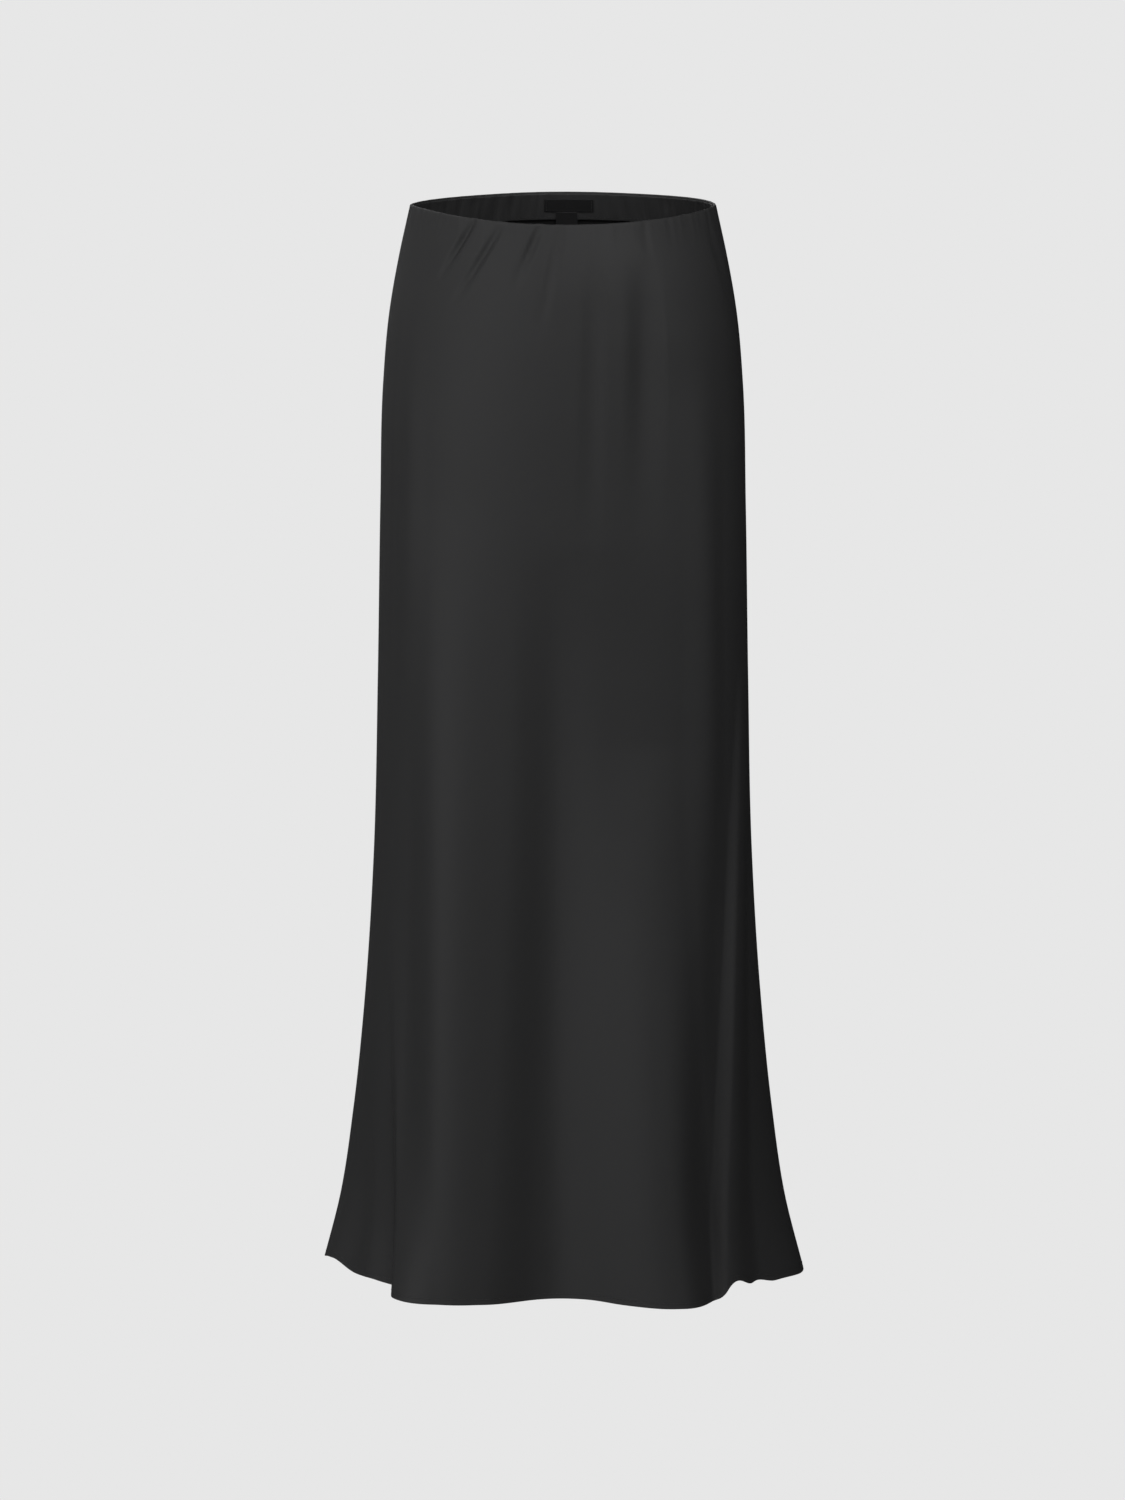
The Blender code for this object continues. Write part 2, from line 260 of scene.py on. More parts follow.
@dataclass(frozen=True)
class SkirtForm:
    """The curved surface that every piece of cloth lies on."""

    length: float = 0.920
    waist_dip: float = 0.0077
    waist_back_rise: float = 0.0010
    step_degrees: float = 0.6
    step_share: float = 0.002
    side_softness: float = 0.15
    pucker_depth: float = 0.00016
    pucker_drop: float = 0.016
    seam_depth: float = 0.0011
    seam_reach: float = 0.9

    def section_value(self, drop: Array, column: str) -> Array:
        """Reads one column of the section table, on a cubic curve through its rows.

        Args:
            drop: Depths below the waist.
            column: The column's name.

        Returns:
            The column's value at each drop.
        """
        drops = np.array([section.drop for section in SECTIONS])
        values = np.array([getattr(section, column) for section in SECTIONS])
        slopes = np.gradient(values, drops)
        at = np.clip(drop, drops[0], drops[-1])
        row = np.clip(np.searchsorted(drops, at, side="right") - 1, 0, len(drops) - 2)
        gap = drops[row + 1] - drops[row]
        u = (at - drops[row]) / gap
        rising = u * u * (3 - 2 * u)
        leave = u * (1 - u) ** 2 * gap * slopes[row]
        arrive = u * u * (u - 1) * gap * slopes[row + 1]
        return values[row] * (1 - rising) + values[row + 1] * rising + leave + arrive

    def squeeze(self, cosine: Array, pinch: Array) -> Array:
        """Gives the factor that draws a side in: its cosine to the power of the pinch, softened."""
        soft = self.side_softness**2
        return ((cosine**2 + soft) / (1 + soft)) ** (pinch / 2)

    def drape(self, angle: Array, drop: Array) -> Array:
        """Adds up the folds and the creases, each of which is a bell round the skirt.

        A fold grows with a power of the way down to the hem. A crease swells with the squared sine
        of pi times a power of the way from its top to its foot.

        Args:
            angle: Angles round the skirt.
            drop: Depths below the waist.

        Returns:
            How far they move the cloth outwards.
        """
        depth = np.zeros_like(drop)
        for fold in FOLDS:
            grown = np.clip((drop - fold.start_drop) / (self.length - fold.start_drop), 0, 1)
            station = fold.start_angle + (fold.hem_angle - fold.start_angle) * grown
            offset = turn_from(angle, station)
            reach = np.where(offset < 0, fold.left_reach, fold.right_reach)
            depth += fold.depth_mm * bell(offset, reach) * grown**fold.growth
        for crease in CREASES:
            along = np.clip((drop - crease.top_drop) / (crease.foot_drop - crease.top_drop), 0, 1)
            station = crease.top_angle + (crease.foot_angle - crease.top_angle) * along
            swell = np.sin(np.pi * along**crease.bias) ** 2
            offset = turn_from(angle, station)
            reach = np.where(offset < 0, crease.reach, crease.reach * crease.lean)
            depth -= crease.depth_mm * bell(offset, reach) * swell
        return depth * MM

    def pucker(self, angle: Array, below_edge: Array) -> Array:
        """Gives the fine ripples below the elastic, which fade down the cloth as a bell curve."""
        fading = np.exp(-((below_edge / self.pucker_drop) ** 2))
        return self.pucker_depth * ripple(np.radians(angle), PUCKERS) * fading

    def seam_dip(self, angle: Array, drop: Array) -> Array:
        """Gives the groove along the side seams: a narrow bell whose depth wavers down the cloth."""
        offset = np.minimum(np.abs(turn_from(angle, SIDE)), np.abs(turn_from(angle, -SIDE)))
        return -self.seam_depth * (1 + ripple(drop, SEAM_WAVERS)) * bell(offset, self.seam_reach)

    def waist_drop(self, angle: Array) -> Array:
        """Gives the waist edge's drop: a squared cosine dips it in front, and one raises it behind."""
        front = np.cos(np.radians(angle))
        dip, rise = self.waist_dip, self.waist_back_rise
        return dip * np.clip(front, 0, 1) ** 2 - rise * np.clip(-front, 0, 1) ** 2

    def hem_drop(self, angle: Array) -> Array:
        """Gives the drop of the hem's edge: the length, less a bell for each higher stretch.

        Args:
            angle: Angles round the skirt.

        Returns:
            The edge's depth below the waist's level.
        """
        drop = np.full_like(angle, self.length)
        for rise in HEM_RISES:
            drop -= rise.height * bell(turn_from(angle, rise.angle), rise.reach)
        return drop

    def face(self, angle: Array, share: Array) -> Array:
        """Gives the outer face: an oval section with pinched sides, moved outwards by its relief.

        The oval is x = width * sin, y = -depth * cos * squeeze, where the depth goes with the cosine
        from the back's to the front's. The relief is laid along the oval's own outward direction.

        Args:
            angle: Angles round the skirt.
            share: Shares of the way down.

        Returns:
            The points, with a last axis of three.
        """
        turn = np.radians(angle)
        waist = self.waist_drop(angle)
        drop = waist + (self.hem_drop(angle) - waist) * share
        columns = (self.section_value(drop, column) for column in Section._fields[1:])
        width, front, back, left_pinch, right_pinch = columns
        sine, cosine = np.sin(turn), np.cos(turn)
        depth = (front + back) / 2 + (front - back) / 2 * cosine
        pinched = cosine * self.squeeze(cosine, np.where(sine < 0, left_pinch, right_pinch))
        outward = np.stack([sine / width, -cosine / depth])
        outward /= np.hypot(*outward)
        relief = self.drape(angle, drop) + self.pucker(angle, drop - waist) + self.seam_dip(angle, drop)
        moved = relief * outward
        return np.stack([width * sine + moved[0], -depth * pinched + moved[1], -drop], -1)

    def normal(self, angle: Array, share: Array) -> Array:
        """Gives the outward direction, from the face's slopes round it and down it.

        Args:
            angle: Angles round the skirt.
            share: Shares of the way down.

        Returns:
            Directions of length one, with a last axis of three.
        """
        left, right = angle - self.step_degrees, angle + self.step_degrees
        upper = np.clip(share - self.step_share, 0, 1)
        lower = np.clip(share + self.step_share, 0, 1)
        across = self.face(right, share) - self.face(left, share)
        upwards = self.face(angle, upper) - self.face(angle, lower)
        normal = np.cross(across, upwards)
        return normal / np.linalg.norm(normal, axis=-1, keepdims=True)

    def point(self, angle: Array, share: Array, inset: Array | float) -> Array:
        """Gives points that lie an inset inside the outer face, along its normal."""
        return self.face(angle, share) - np.asarray(inset)[..., None] * self.normal(angle, share)


class Outline(NamedTuple):
    """A strip of cloth seen from its cut edge: insets and drops of its two faces, and the length
    of cloth from its upper end."""

    outer_inset: Array
    outer_drop: Array
    inner_inset: Array
    inner_drop: Array
    run: Array


def quads_between(index: Array, turned: bool = False) -> Array:
    """Joins a grid of indices into four-cornered faces.

    Args:
        index: The grid, with rows downwards and columns to the right as seen from outside.
        turned: Whether the faces point the other way.

    Returns:
        One row of four indices for each face.
    """
    corners = [index[:-1, :-1], index[1:, :-1], index[1:, 1:], index[:-1, 1:]]
    if turned:
        corners = [corners[0], *corners[:0:-1]]
    return np.stack(corners, -1).reshape(-1, 4)


def add_mesh(name: str, points: Array, quads: Array) -> bpy.types.Object:
    """Makes a smooth mesh of four-cornered faces and links it to the scene.

    Args:
        name: The piece's name.
        points: The vertices, one row of three each.
        quads: The faces, one row of four indices each.

    Returns:
        The new piece.
    """
    mesh = bpy.data.meshes.new(name)
    mesh.vertices.add(len(points))
    mesh.vertices.foreach_set("co", points.astype(np.float32).ravel())
    mesh.loops.add(quads.size)
    mesh.loops.foreach_set("vertex_index", quads.astype(np.int32).ravel())
    mesh.polygons.add(len(quads))
    mesh.polygons.foreach_set("loop_start", np.arange(0, quads.size, 4, dtype=np.int32))
    mesh.update(calc_edges=True)
    mesh.shade_smooth()
    piece = bpy.data.objects.new(name, mesh)
    bpy.context.scene.collection.objects.link(piece)
    return piece


def add_wall(
    name: str, outer: Array, inner: Array, cloth: Array, edge: Array, closed: bool = False
) -> bpy.types.Object:
    """Makes a closed wall from two grids of points that follow each other.

    The grids are joined along their rims. A wall that goes right round ends on the column that it
    began with, which is shared in the mesh but not on the flat cloth.

    Args:
        name: The piece's name.
        outer: The outer face's points, rows by columns by three.
        inner: The inner face's points.
        cloth: The place of each point on the flat cloth, in metres.
        edge: A mask of each point, 1 where the cloth is turned or sewn.
        closed: Whether the wall goes right round.

    Returns:
        The new piece.
    """
    rows, columns = outer.shape[:2]
    own = columns - 1 if closed else columns
    index = np.arange(rows * own).reshape(rows, own)
    index = np.concatenate([index, index[:, :1]], 1) if closed else index
    flat = np.arange(rows * columns).reshape(rows, columns)
    faces = []
    for grid, step in ((index, rows * own), (flat, rows * columns)):
        parts = [quads_between(grid), quads_between(grid + step, turned=True)]
        parts.append(quads_between(np.stack([grid[0] + step, grid[0]])))
        parts.append(quads_between(np.stack([grid[-1], grid[-1] + step])))
        if not closed:
            parts.append(quads_between(np.stack([grid[:, 0] + step, grid[:, 0]], 1)))
            parts.append(quads_between(np.stack([grid[:, -1], grid[:, -1] + step], 1)))
        faces.append(np.concatenate(parts))
    points = np.concatenate([outer[:, :own].reshape(-1, 3), inner[:, :own].reshape(-1, 3)])
    piece = add_mesh(name, points, faces[0])
    corner = faces[1].ravel()
    places = np.tile(cloth.reshape(-1, 2), (2, 1))
    layer = piece.data.uv_layers.new(name=CLOTH_MAP)
    layer.uv.foreach_set("vector", places[corner].astype(np.float32).ravel())
    mask = piece.data.attributes.new(EDGE_MASK, "FLOAT", "POINT")
    mask.data.foreach_set("value", np.tile(edge[:, :own].ravel(), 2).astype(np.float32))
    return piece


def add_stitches(
    name: str, starts: Array, ends: Array, outward: Array, width: float, rise: float
) -> bpy.types.Object:
    """Makes a row of thread stitches, each a short bar that swells in its middle.

    A stitch has four rings of four corners along the line from its start to its end. Ring k lies
    at the share 0, 0.3, 0.7 or 1 of the way, and its corners lie half a width along the seam's
    side and along the outward direction.

    Args:
        name: The piece's name.
        starts: Where each stitch comes out of the cloth.
        ends: Where each goes back in.
        outward: The cloth's outward direction at each.
        width: The thread's width.
        rise: How far the thread stands out at its middle.

    Returns:
        The new piece.
    """
    along = ends - starts
    side = np.cross(along, outward)
    side /= np.linalg.norm(side, axis=-1, keepdims=True)
    share = np.array([0.0, 0.3, 0.7, 1.0])
    swell = np.array([0.35, 1.0, 1.0, 0.35])
    lift = np.array([-0.4, 1.0, 1.0, -0.4])
    corner_side = np.array([-0.5, -0.5, 0.5, 0.5]) * width
    corner_out = np.array([-0.5, 0.5, 0.5, -0.5]) * width
    line = starts[:, None] + along[:, None] * share[:, None] + outward[:, None] * (lift * rise)[:, None]
    ring = side[:, None, None] * (swell[:, None] * corner_side)[..., None]
    ring = ring + outward[:, None, None] * (swell[:, None] * corner_out)[..., None]
    points = (line[:, :, None] + ring).reshape(-1, 3)
    first = np.arange(share.size * corner_side.size).reshape(share.size, -1)
    index = np.concatenate([first, first[:, :1]], 1)
    bar = np.concatenate([quads_between(index), first[:1], first[-1:, ::-1]])
    quads = (np.arange(len(starts))[:, None, None] * first.size + bar).reshape(-1, 4)
    return add_mesh(name, points, quads)


Socket = bpy.types.NodeSocket
Value = Socket | float | tuple
Inputs = dict[str | int, Value]


@dataclass(frozen=True)
class NodeTree:
    """A shader node tree, with short calls that add nodes and wire their sockets."""

    tree: bpy.types.NodeTree

    def wire(self, socket: Socket, value: Value) -> None:
        """Links an input to another node's output, or sets its value.

        Args:
            socket: The input.
            value: The output to link, or the value to set.
        """
        if isinstance(value, Socket):
            self.tree.links.new(value, socket)
        else:
            socket.default_value = value

    def fill(self, node: bpy.types.Node, inputs: Inputs) -> None:
        """Links or sets a node's inputs, by their names or numbers."""
        for key, value in inputs.items():
            self.wire(node.inputs[key], value)

    def add(self, kind: str, inputs: Inputs | None = None, **settings: object) -> bpy.types.Node:
        """Adds a node.

        Args:
            kind: The node's type, without its ShaderNode prefix.
            inputs: What its inputs are linked or set to, by name or number.
            settings: The node's own properties.

        Returns:
            The new node.
        """
        node = self.tree.nodes.new("ShaderNode" + kind)
        for key, value in settings.items():
            setattr(node, key, value)
        self.fill(node, inputs or {})
        return node

    def group(self, name: str, inputs: Inputs) -> bpy.types.Node:
        """Places a node group."""
        return self.add("Group", inputs, node_tree=bpy.data.node_groups[name])

    def math(self, operation: str, *values: Value) -> Socket:
        """Adds a Math node and gives its output."""
        return self.add("Math", dict(enumerate(values)), operation=operation).outputs[0]

    def on_bias(self, place: Socket) -> Socket:
        """Turns a place on the cloth to the directions of its threads."""
        turned = self.add("VectorRotate", {"Vector": place, "Angle": BIAS}, rotation_type="Z_AXIS")
        return turned.outputs[0]

    def blend(self, share: Value, low: Value, high: Value) -> Socket:
        """Gives low at share 0 and high at share 1, for plain numbers."""
        node = self.add("MapRange", {"Value": share, "To Min": low, "To Max": high})
        return node.outputs["Result"]

    def blend_colour(self, share: Value, low: Value, high: Value) -> Socket:
        """Gives one colour at share 0 and another at share 1.

        Args:
            share: How much of the second colour is taken.
            low: The first colour.
            high: The second colour.

        Returns:
            The mixed colour.
        """
        node = self.add("Mix", {"Factor": share}, data_type="RGBA")
        first, second = (socket for socket in node.inputs if socket.type == "RGBA")
        self.wire(first, low)
        self.wire(second, high)
        return next(socket for socket in node.outputs if socket.type == "RGBA")


def new_group(
    name: str, inputs: dict[str, str], outputs: dict[str, str]
) -> tuple[NodeTree, dict[str, Socket], dict[str, Socket]]:
    """Starts a shader node group.

    Args:
        name: The group's name.
        inputs: The type of each input, by name.
        outputs: The type of each output, by name.

    Returns:
        The group's tree, its inputs by name, and the sockets that its outputs are wired to.
    """
    group = bpy.data.node_groups.new(name, "ShaderNodeTree")
    for in_out, sockets in (("INPUT", inputs), ("OUTPUT", outputs)):
        for socket, kind in sockets.items():
            group.interface.new_socket(socket, in_out=in_out, socket_type="NodeSocket" + kind)
    entry = group.nodes.new("NodeGroupInput")
    leave = group.nodes.new("NodeGroupOutput")
    return NodeTree(group), dict(entry.outputs.items()), dict(leave.inputs.items())


def weave_group() -> None:
    """Makes the weave: long floats over four threads in five, cut on the bias.

    Thread i crosses thread j on top where (step * i + j) mod repeat is 0. A thread's height is the
    sine of pi times the place across it. The group takes a place on the cloth and the pitch.
    """
    inputs = {"Place": "Vector", "Pitch": "Float"}
    nodes, given, out = new_group("satin_weave", inputs, {"Height": "Float", "Tie": "Float"})
    turned = nodes.on_bias(given["Place"])
    scale = nodes.math("DIVIDE", 1.0, given["Pitch"])
    scaled = nodes.add("VectorMath", {0: turned, "Scale": scale}, operation="SCALE")
    warp, weft = nodes.add("SeparateXYZ", {0: scaled.outputs[0]}).outputs[:2]
    order = nodes.math("MULTIPLY_ADD", nodes.math("FLOOR", warp), WEAVE_STEP, nodes.math("FLOOR", weft))
    tie = nodes.math("COMPARE", nodes.math("FLOORED_MODULO", order, WEAVE_REPEAT), 0.0, 0.5)
    round_warp, round_weft = (
        nodes.math("ABSOLUTE", nodes.math("SINE", nodes.math("MULTIPLY", across, pi)))
        for across in (warp, weft)
    )
    upper = nodes.math("MULTIPLY_ADD", round_warp, 1 - FLOAT_LIFT, FLOAT_LIFT)
    lower = nodes.math("MULTIPLY", round_weft, TIE_HEIGHT)
    nodes.wire(out["Height"], nodes.blend(tie, upper, lower))
    nodes.wire(out["Tie"], tie)


def tone_group() -> None:
    """Makes the cloth's own unevenness: broad clouds, and streaks that follow the threads.

    The group takes a place on the cloth and the sizes of the clouds and the streaks.
    """
    inputs = {"Place": "Vector", "Cloud Size": "Float", "Streak Size": "Float"}
    nodes, given, out = new_group("cloth_tone", inputs, {"Cloud": "Float", "Streak": "Float"})
    turned = nodes.on_bias(given["Place"])
    for output, stretch in (("Cloud", 1.0), ("Streak", STREAK_STRETCH)):
        long = nodes.add("VectorMath", {0: turned, 1: (1.0, stretch, 1.0)}, operation="MULTIPLY")
        scale = nodes.math("DIVIDE", 1.0, given[output + " Size"])
        noise = nodes.add("TexNoise", {"Vector": long.outputs[0], "Scale": scale, "Detail": 3.0})
        nodes.wire(out[output], noise.outputs[0])


def rub_and_highlight_group() -> None:
    """Makes the lighter edges, partly rubbed wear and partly a painted highlight: the edge mask, broken
    up by the clouds.
    """
    inputs = {"Edge": "Float", "Cloud": "Float"}
    nodes, given, out = new_group("rubbed_and_highlit_edge", inputs, {"Rub And Highlight": "Float"})
    broken = nodes.blend(given["Cloud"], LEAST_RUB_AND_HIGHLIGHT, 1.0)
    nodes.wire(out["Rub And Highlight"], nodes.math("MULTIPLY", given["Edge"], broken))


@dataclass(frozen=True)
class Finish:
    """The finish of one material: its name, its colour, and its roughness with its spread."""

    name: str
    colour: tuple[float, float, float]
    roughness: float
    spread: float = 0.04

    def material(self) -> bpy.types.Material:
        """Gives the material, which is made once and then shared.

        Returns:
            The material.
        """
        made = bpy.data.materials.get(self.name)
        if not made:
            made = bpy.data.materials.new(self.name)
            made.use_nodes = True
            nodes = NodeTree(made.node_tree)
            nodes.fill(made.node_tree.nodes["Principled BSDF"], self.inputs(nodes))
        return made

    def inputs(self, nodes: NodeTree) -> Inputs:
        """Adds the material's nodes and gives its shader's inputs."""
        raise NotImplementedError

    def shade(self, share: float) -> tuple[float, float, float, float]:
        """Gives the colour made lighter or darker."""
        return (*(share * part for part in self.colour), 1.0)

    def rough(self, nodes: NodeTree, share: Value) -> Socket:
        """Gives the roughness, from its least at share 0 to its most at share 1."""
        return nodes.blend(share, self.roughness - self.spread, self.roughness + self.spread)


@dataclass(frozen=True)
class ClothFinish(Finish):
    """The finish of one cloth: its gloss, its weave with a painted shade on the sunken ties, its
    unevenness, and its edges lightened by rubbed wear and a painted highlight.
    """

    specular: float = 0.5
    pitch: float = 0.00045
    weave_depth: float = 0.000012
    uneven: float = 0.10
    cloud_size: float = 0.07
    streak_size: float = 0.0025
    # How much lighter the edges are: partly rubbed wear, partly a painted highlight
    rub_and_highlight: float = 0.35
    # How much darker the sunken ties are: a painted shade in the weave's dips
    tie_painted_shade: float = 0.12

    def inputs(self, nodes: NodeTree) -> Inputs:
        """Adds the nodes, which read the cloth map and the edge mask of the piece.

        Args:
            nodes: The material's tree.

        Returns:
            The shader's inputs.
        """
        place = nodes.add("UVMap", uv_map=CLOTH_MAP).outputs[0]
        edge = nodes.add("Attribute", attribute_name=EDGE_MASK).outputs["Fac"]
        weave = nodes.group("satin_weave", {"Place": place, "Pitch": self.pitch}).outputs
        sizes = {"Cloud Size": self.cloud_size, "Streak Size": self.streak_size}
        tone = nodes.group("cloth_tone", {"Place": place, **sizes}).outputs
        rub_and_highlight = nodes.group("rubbed_and_highlit_edge", {"Edge": edge, "Cloud": tone["Cloud"]}).outputs["Rub And Highlight"]
        cloud = nodes.math("MULTIPLY", tone["Cloud"], 0.5)
        uneven = nodes.math("MULTIPLY_ADD", tone["Streak"], 0.5, cloud)
        plain = nodes.blend_colour(uneven, self.shade(1 - self.uneven), self.shade(1 + self.uneven))
        # The sunken ties are darkened: a painted shade between the raised floats
        tie = nodes.math("MULTIPLY", weave["Tie"], self.tie_painted_shade)
        with_painted_tie_shade = nodes.blend_colour(tie, plain, self.shade(0.0))
        bump = nodes.add("Bump", {"Height": weave["Height"], "Distance": self.weave_depth})
        return {
            # The edges are made lighter: partly rubbed wear, partly a painted highlight along the turned
            # waist and the seams
            "Base Color": nodes.blend_colour(rub_and_highlight, with_painted_tie_shade, self.shade(1 + self.rub_and_highlight)),
            "Roughness": self.rough(nodes, uneven),
            "Normal": bump.outputs[0],
            "Specular IOR Level": self.specular,
        }


@dataclass(frozen=True)
class ThreadFinish(Finish):
    """The finish of a sewing thread, twisted along its length."""

    roughness: float = 0.45
    spread: float = 0.1
    ply: float = 0.0004
    contrast: float = 0.3

    def inputs(self, nodes: NodeTree) -> Inputs:
        """Adds the nodes, which lay a fine twist across the thread.

        Args:
            nodes: The material's tree.

        Returns:
            The shader's inputs.
        """
        place = nodes.add("TexCoord").outputs["Object"]
        twist = nodes.add("TexNoise", {"Vector": place, "Scale": 1 / self.ply, "Detail": 1.0}).outputs[0]
        dark, light = self.shade(1 - self.contrast), self.shade(1 + self.contrast)
        return {
            "Base Color": nodes.blend_colour(twist, dark, light),
            "Roughness": self.rough(nodes, twist),
        }


SATIN = ClothFinish("black_satin", (0.0215, 0.0215, 0.0220), 0.62, specular=0.27, rub_and_highlight=0.15)
# The reverse is duller, and its colour far darker than the face: a painted shade for the skirt's
# shadowed inside
REVERSE_IN_PAINTED_SHADE = ClothFinish("satin_reverse_painted_shade", (0.0065, 0.0065, 0.0068), 0.80, specular=0.18, tie_painted_shade=0.25)
# The casing is the same satin, a little darker than the face: a painted shade inside the waist
CASING_IN_PAINTED_SHADE = ClothFinish("casing_cloth_painted_shade", (0.018, 0.018, 0.0185), 0.62, rub_and_highlight=0.2)
TAPE = ClothFinish(
    "label_tape", (0.0070, 0.0070, 0.0074), 0.65,
    specular=0.25, pitch=0.0006, weave_depth=0.00004, rub_and_highlight=0.6,
)
THREAD = ThreadFinish("black_thread", (0.016, 0.016, 0.0165))


def settle(piece: bpy.types.Object, finishes: tuple[Finish, ...], slot: str, *nodes: str) -> None:
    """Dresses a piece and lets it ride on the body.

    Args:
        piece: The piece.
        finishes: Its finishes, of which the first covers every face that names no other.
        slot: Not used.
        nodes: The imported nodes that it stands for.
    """
    for finish in finishes:
        piece.data.materials.append(finish.material())
    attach(piece, BODY)
    if nodes:
        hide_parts(*nodes)
    log.info("%s: %d faces", piece.name, len(piece.data.polygons))


@dataclass
class SatinPanel:
    """The front or the back of the skirt, one sheet from the turned waist to the narrow hem."""

    form: SkirtForm
    name: str
    node: str
    middle: float
    flat: tuple[float, float]
    area: float
    columns: int = 226
    crowding: float = 0.35
    rows: int = 140
    waist_rows: int = 40
    waist_band: float = 0.100
    hem_rows: tuple[float, ...] = (0.0075, 0.0058, 0.0050, 0.0042, 0.0030, 0.0018)
    turn_rows: int = 9
    return_rows: int = 3
    thickness: float = 0.00045
    top_radius: float = 0.0010
    top_return: float = 0.0050
    hem_radius: float = 0.0007
    hem_return: float = 0.0065
    seam_gap: float = 0.0003
    edge_reach: float = 0.0022
    # How much and how far the cloth beside the side seams is lightened: rubbed wear and a painted
    # highlight
    seam_rub_and_highlight: float = 0.5
    seam_rub_and_highlight_reach: float = 1.2

    def angles(self) -> Array:
        """Gives the columns' angles from left to right, which crowd where the folds turn sharply."""
        across = np.linspace(-1, 1, self.columns + 1)
        return self.middle + SIDE * (across + self.crowding / (2 * pi) * np.sin(2 * pi * across))

    def face_drops(self) -> Array:
        """Gives the rows between the two turns, closer together below the waist and at the hem.

        Returns:
            The rows' drops.
        """
        length = self.form.length
        upper = np.linspace(0, self.waist_band, self.waist_rows, endpoint=False)
        lower = np.linspace(self.waist_band, length, self.rows)
        drops = np.unique(np.concatenate([upper, lower, length - np.array(self.hem_rows)]))
        return drops[(drops > self.top_radius) & (drops < length - self.hem_radius)]

    def outline(self) -> Outline:
        """Works out the sheet, which turns inwards over its upper edge and under its hem.

        Each turn is a half circle about a point one radius inside the face, with a straight return
        behind it. The second face lies one thickness along the outline's own normal. A stretch has
        its inset, its drop, and that normal's two parts.

        Returns:
            The sheet as seen from its cut edge.
        """
        top, hem, length = self.top_radius, self.hem_radius, self.form.length
        over = np.linspace(pi, 0, self.turn_rows)
        across_over, along_over = -np.cos(over), -np.sin(over)
        across_under, along_under = across_over[::-1], -along_over[::-1]
        top_rows = np.linspace(self.top_return, top, self.return_rows + 1)[:-1]
        hem_rows = np.linspace(hem, self.hem_return, self.return_rows + 1)[1:]
        stretches = (
            (2 * top, top_rows, 1.0, 0.0),
            (top + top * across_over, top + top * along_over, across_over, along_over),
            (0.0, self.face_drops(), -1.0, 0.0),
            (hem + hem * across_under, length - hem + hem * along_under, across_under, along_under),
            (2 * hem, length - hem_rows, 1.0, 0.0),
        )
        rows = [np.stack(np.broadcast_arrays(*stretch)) for stretch in stretches]
        inset, drop, across, along = np.concatenate(rows, axis=1)
        run = np.concatenate([[0], np.cumsum(np.hypot(np.diff(inset), np.diff(drop)))])
        return Outline(inset, drop, inset - self.thickness * across, drop - self.thickness * along, run)

    def build(self) -> None:
        """Builds the sheet, its outer face in satin and its inner face in the duller reverse, darkened
        as a painted shade.
        """
        outline = self.outline()
        angle = np.broadcast_to(self.angles(), (len(outline.run), self.columns + 1))
        seam_shift = np.zeros((self.columns + 1, 3))
        seam_shift[[0, -1], 1] = self.seam_gap / 2 * (1 if self.middle else -1)
        sides = []
        for inset, drop in (outline[:2], outline[2:4]):
            share = np.broadcast_to((drop / self.form.length)[:, None], angle.shape)
            sides.append(self.form.point(angle, share, inset[:, None]) + seam_shift)
        across = np.linalg.norm(np.diff(sides[0], axis=1), axis=-1)
        across = np.concatenate([np.zeros((len(across), 1)), np.cumsum(across, 1)], 1)
        across -= across[:, [self.columns // 2]]
        cloth = np.stack([across, -np.broadcast_to(outline.run[:, None], across.shape)], -1)
        piece = add_wall(self.name, *sides, cloth, self.edge_mask(outline.outer_drop, angle))
        settle(piece, (SATIN, REVERSE_IN_PAINTED_SHADE), "satin", self.node)
        faces = (len(outline.run) - 1) * self.columns
        inner = np.zeros(len(piece.data.polygons), dtype=np.int32)
        inner[faces : 2 * faces] = 1
        piece.data.polygons.foreach_set("material_index", inner)

    def edge_mask(self, drop: Array, angle: Array) -> Array:
        """Marks the turned waist, the hem's fold and the cloth next to the side seams, for rubbed wear
        and a painted highlight.

        Args:
            drop: The rows' drops.
            angle: The grid's angles.

        Returns:
            The mask, from 0 to 1.
        """
        from_edges = (drop, self.form.length - drop)
        turned = sum(np.exp(-((depth / self.edge_reach) ** 2)) for depth in from_edges)
        from_seam = (SIDE - np.abs(turn_from(angle, self.middle))) / self.seam_rub_and_highlight_reach
        return np.clip(turned[:, None] + self.seam_rub_and_highlight * np.exp(-(from_seam**2)), 0, 1)


